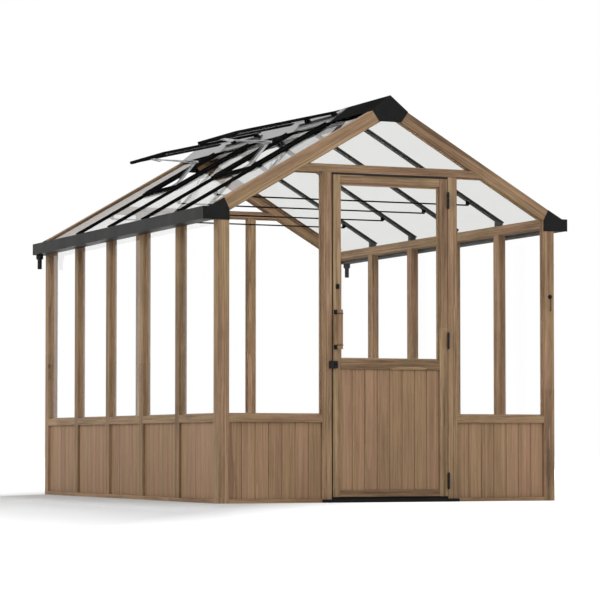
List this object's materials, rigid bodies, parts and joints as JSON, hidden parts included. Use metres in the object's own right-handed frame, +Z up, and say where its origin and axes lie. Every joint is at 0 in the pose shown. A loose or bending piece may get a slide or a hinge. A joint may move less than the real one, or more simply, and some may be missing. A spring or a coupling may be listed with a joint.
{
  "type": "cedar greenhouse",
  "caption": "Timber greenhouse with boarded base walls, a glazed hinged door, a pitched roof with self-opening vents, and eave gutters.",
  "frame": {"origin": "on the ground at the centre of the footprint, which is the centre of the four anchor holes", "axes": "+X to the right across the door gable, +Y from the door gable to the rear gable along the ridge, +Z up"},
  "size_m": [2.56, 3.548, 2.592],
  "materials": {
    "cedar_frame": "planed cedar, satin oil",
    "cedar_boards": "planed cedar boards with V joints, satin oil",
    "oiled_grip": "turned cedar, oiled",
    "clear_glass": "clear toughened glass",
    "roof_pane": "translucent twin wall polycarbonate",
    "black_coated_metal": "black powder coated aluminium",
    "dark_grey_plastic": "dark grey moulded gutter plastic",
    "black_hardware": "black coated steel",
    "seal_rubber": "black rubber strip",
    "steel": "zinc plated steel",
    "wax_cylinder": "black coated steel tube"
  },
  "bodies": {
    "frame": {"base_rails": "cedar_frame", "corner_posts": "cedar_frame", "side_wall_posts": "cedar_frame", "gable_posts": "cedar_frame", "sill_rails": "cedar_frame", "left_wall_boards": "cedar_boards", "right_wall_boards": "cedar_boards", "front_wall_boards": "cedar_boards", "rear_wall_boards": "cedar_boards", "side_wall_glass": "clear_glass", "end_wall_glass": "clear_glass", "gable_glass": "clear_glass", "glazing_stops": "cedar_frame", "eave_beams": "cedar_frame", "rafters": "cedar_frame", "headers": "cedar_frame", "ridge_bar": "black_coated_metal", "ridge_cap": "black_coated_metal", "ridge_end_caps": "black_coated_metal", "eave_brackets": "black_coated_metal", "glazing_bars": "black_coated_metal", "rafter_glazing_strips": "cedar_frame", "left_roof_panes": "roof_pane", "right_roof_panes": "roof_pane", "vent_curbs": "black_coated_metal", "tie_bars": "black_coated_metal", "gutters": "dark_grey_plastic", "downpipe_outlets": "dark_grey_plastic", "threshold": "black_coated_metal", "door_stops": "cedar_frame", "door_seals": "seal_rubber", "frame_hinge_leaves": "black_hardware", "latch_keeper": "black_hardware", "hook_rose": "black_hardware", "vent_hinge_pins": "black_coated_metal", "opener_bases": "steel"},
    "door": {"door_stiles": "cedar_frame", "door_rails": "cedar_frame", "door_boards": "cedar_boards", "door_glass": "clear_glass", "door_beads": "cedar_frame", "door_hinge_leaves": "black_hardware", "handle_brackets": "black_hardware", "handle_grip": "oiled_grip", "latch_body": "black_hardware", "hook_eye": "black_hardware"},
    "bolt": {"latch_bolt": "black_hardware"},
    "hook": {"cabin_hook": "black_hardware"},
    "front_vent": {"front_vent_frame": "black_coated_metal", "front_vent_pane": "roof_pane", "front_vent_bracket": "steel"},
    "rear_vent": {"rear_vent_frame": "black_coated_metal", "rear_vent_pane": "roof_pane", "rear_vent_bracket": "steel"},
    "front_lever": {"front_opener_lever": "steel", "front_opener_cylinder": "wax_cylinder"},
    "front_arm": {"front_opener_arm": "steel"},
    "rear_lever": {"rear_opener_lever": "steel", "rear_opener_cylinder": "wax_cylinder"},
    "rear_arm": {"rear_opener_arm": "steel"}
  },
  "joints": [
    {"name": "door_swing", "type": "hinge", "parent": "frame", "child": "door", "pos_m": [0.407, -1.739, 1.03], "axis": [0, 0, 1], "range_deg": [0, 172]},
    {"name": "bolt_slide", "type": "slide", "parent": "door", "child": "bolt", "axis": [-1, 0, 0], "range_m": [0, 0.01]},
    {"name": "hook_swing", "type": "hinge", "parent": "frame", "child": "hook", "pos_m": [1.15, -1.743, 1.329], "axis": [-1, 0, 0], "range_deg": [0, 110]},
    {"name": "front_vent_tilt", "type": "hinge", "parent": "frame", "child": "front_vent", "pos_m": [-0.03, -0.6776, 2.576], "axis": [0, 1, 0], "range_deg": [-17, 8]},
    {"name": "front_lever_turn", "type": "hinge", "parent": "frame", "child": "front_lever", "pos_m": [-0.54124, -0.6776, 2.22185], "axis": [0, 1, 0], "range_deg": [-8.4, 17.8]},
    {"name": "front_arm_turn", "type": "hinge", "parent": "front_vent", "child": "front_arm", "pos_m": [-0.66881, -0.6776, 2.38303], "axis": [0, 1, 0], "range_deg": [-15.4, 7.3]},
    {"name": "rear_vent_tilt", "type": "hinge", "parent": "frame", "child": "rear_vent", "pos_m": [-0.03, 0.6776, 2.576], "axis": [0, 1, 0], "range_deg": [-17, 8]},
    {"name": "rear_lever_turn", "type": "hinge", "parent": "frame", "child": "rear_lever", "pos_m": [-0.54124, 0.6776, 2.22185], "axis": [0, 1, 0], "range_deg": [-8.4, 17.8]},
    {"name": "rear_arm_turn", "type": "hinge", "parent": "rear_vent", "child": "rear_arm", "pos_m": [-0.66881, 0.6776, 2.38303], "axis": [0, 1, 0], "range_deg": [-15.4, 7.3]}
  ],
  "couplings": [
    {"joint": "front_lever_turn", "follows": "front_vent_tilt", "ratio": -1.044},
    {"joint": "front_arm_turn", "follows": "front_vent_tilt", "ratio": 0.903},
    {"joint": "rear_lever_turn", "follows": "rear_vent_tilt", "ratio": -1.044},
    {"joint": "rear_arm_turn", "follows": "rear_vent_tilt", "ratio": 0.903}
  ]
}
